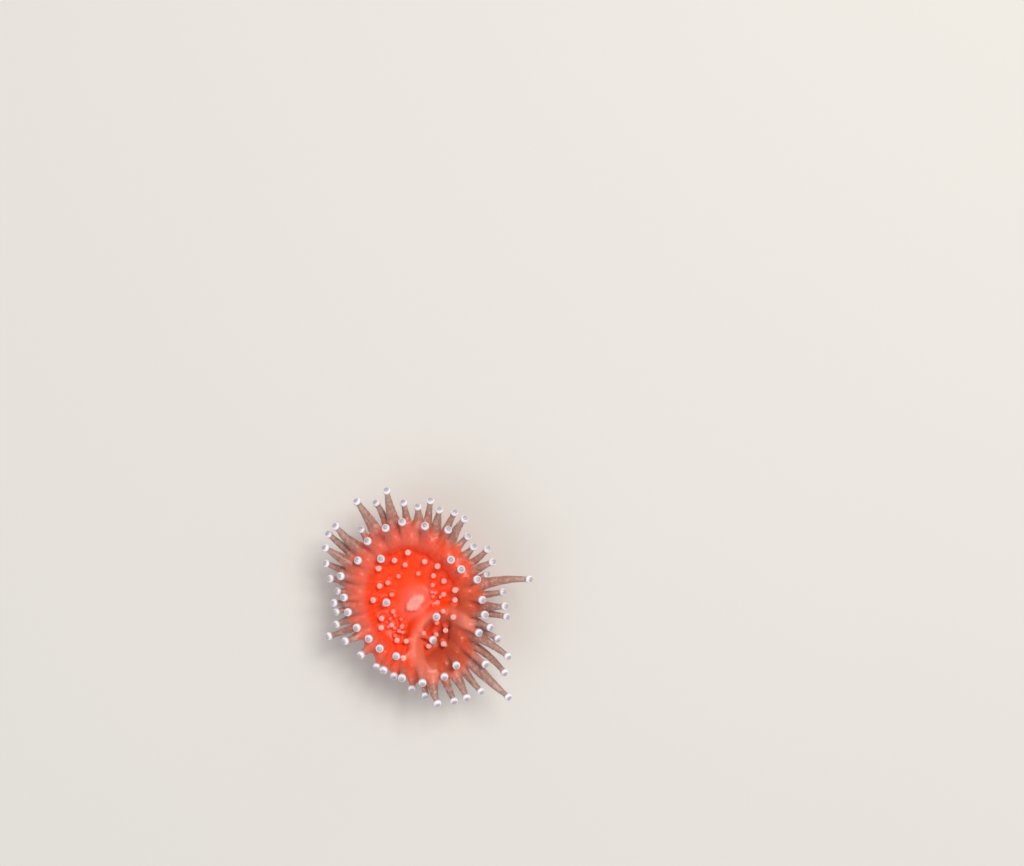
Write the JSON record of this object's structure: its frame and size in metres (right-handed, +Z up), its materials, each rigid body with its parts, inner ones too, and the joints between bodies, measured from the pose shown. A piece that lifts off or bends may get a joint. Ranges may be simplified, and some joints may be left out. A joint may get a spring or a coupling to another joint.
{
  "type": "strawberry anemone",
  "caption": "Open strawberry anemone: short flared column on a flat foot, oval folded disc with a mouth cone, and a crown of knob-tipped tentacles.",
  "frame": {"origin": "middle of the foot's flat underside, on the surface that the anemone rests on", "axes": "+Z up along the column to the mouth; the mouth cone stands on this axis. The disc's folded side, with the second small basin, lies towards +X and -Y"},
  "size_m": [0.0315, 0.0326, 0.0136],
  "materials": {
    "foot_flesh": "moist dull orange-pink flesh of the foot, slightly see-through at its edge",
    "column_flesh": "smooth moist salmon-orange skin of the column with faint lengthwise lines",
    "rim_flesh": "thin, wet, see-through salmon-pink skin of the flared rim",
    "disc_flesh": "wet glowing orange-red skin of the oral disc, paler towards the rim, with small pale knobbed tentacles",
    "mouth_flesh": "wet pale pink-red skin of the mouth cone",
    "tentacle_flesh": "wet, glassy pinkish-grey tentacles with fine specks, each with a pearly lilac-white knob"
  },
  "bodies": {
    "root": {"pedal_disc": "foot_flesh", "column": "column_flesh", "margin": "rim_flesh", "oral_disc": "disc_flesh", "mouth_cone": "mouth_flesh", "tentacle_low_01": "tentacle_flesh", "tentacle_high_01": "tentacle_flesh", "tentacle_low_02": "tentacle_flesh", "tentacle_high_02": "tentacle_flesh", "tentacle_low_03": "tentacle_flesh", "tentacle_high_03": "tentacle_flesh", "tentacle_low_04": "tentacle_flesh", "tentacle_high_04": "tentacle_flesh", "tentacle_low_05": "tentacle_flesh", "tentacle_high_05": "tentacle_flesh", "tentacle_low_06": "tentacle_flesh", "tentacle_high_06": "tentacle_flesh", "tentacle_low_07": "tentacle_flesh", "tentacle_high_07": "tentacle_flesh", "tentacle_low_08": "tentacle_flesh", "tentacle_high_08": "tentacle_flesh", "tentacle_low_09": "tentacle_flesh", "tentacle_high_09": "tentacle_flesh", "tentacle_low_10": "tentacle_flesh", "tentacle_high_10": "tentacle_flesh", "tentacle_low_11": "tentacle_flesh", "tentacle_high_11": "tentacle_flesh", "tentacle_low_12": "tentacle_flesh", "tentacle_high_12": "tentacle_flesh", "tentacle_low_13": "tentacle_flesh", "tentacle_high_13": "tentacle_flesh", "tentacle_low_14": "tentacle_flesh", "tentacle_high_14": "tentacle_flesh", "tentacle_low_15": "tentacle_flesh", "tentacle_high_15": "tentacle_flesh", "tentacle_low_16": "tentacle_flesh", "tentacle_high_16": "tentacle_flesh", "tentacle_low_17": "tentacle_flesh", "tentacle_high_17": "tentacle_flesh", "tentacle_low_18": "tentacle_flesh", "tentacle_high_18": "tentacle_flesh", "tentacle_low_19": "tentacle_flesh", "tentacle_high_19": "tentacle_flesh", "tentacle_low_20": "tentacle_flesh", "tentacle_high_20": "tentacle_flesh", "tentacle_low_21": "tentacle_flesh", "tentacle_high_21": "tentacle_flesh", "tentacle_low_22": "tentacle_flesh", "tentacle_high_22": "tentacle_flesh", "tentacle_low_23": "tentacle_flesh", "tentacle_high_23": "tentacle_flesh", "tentacle_low_24": "tentacle_flesh", "tentacle_high_24": "tentacle_flesh"}
  },
  "joints": []
}
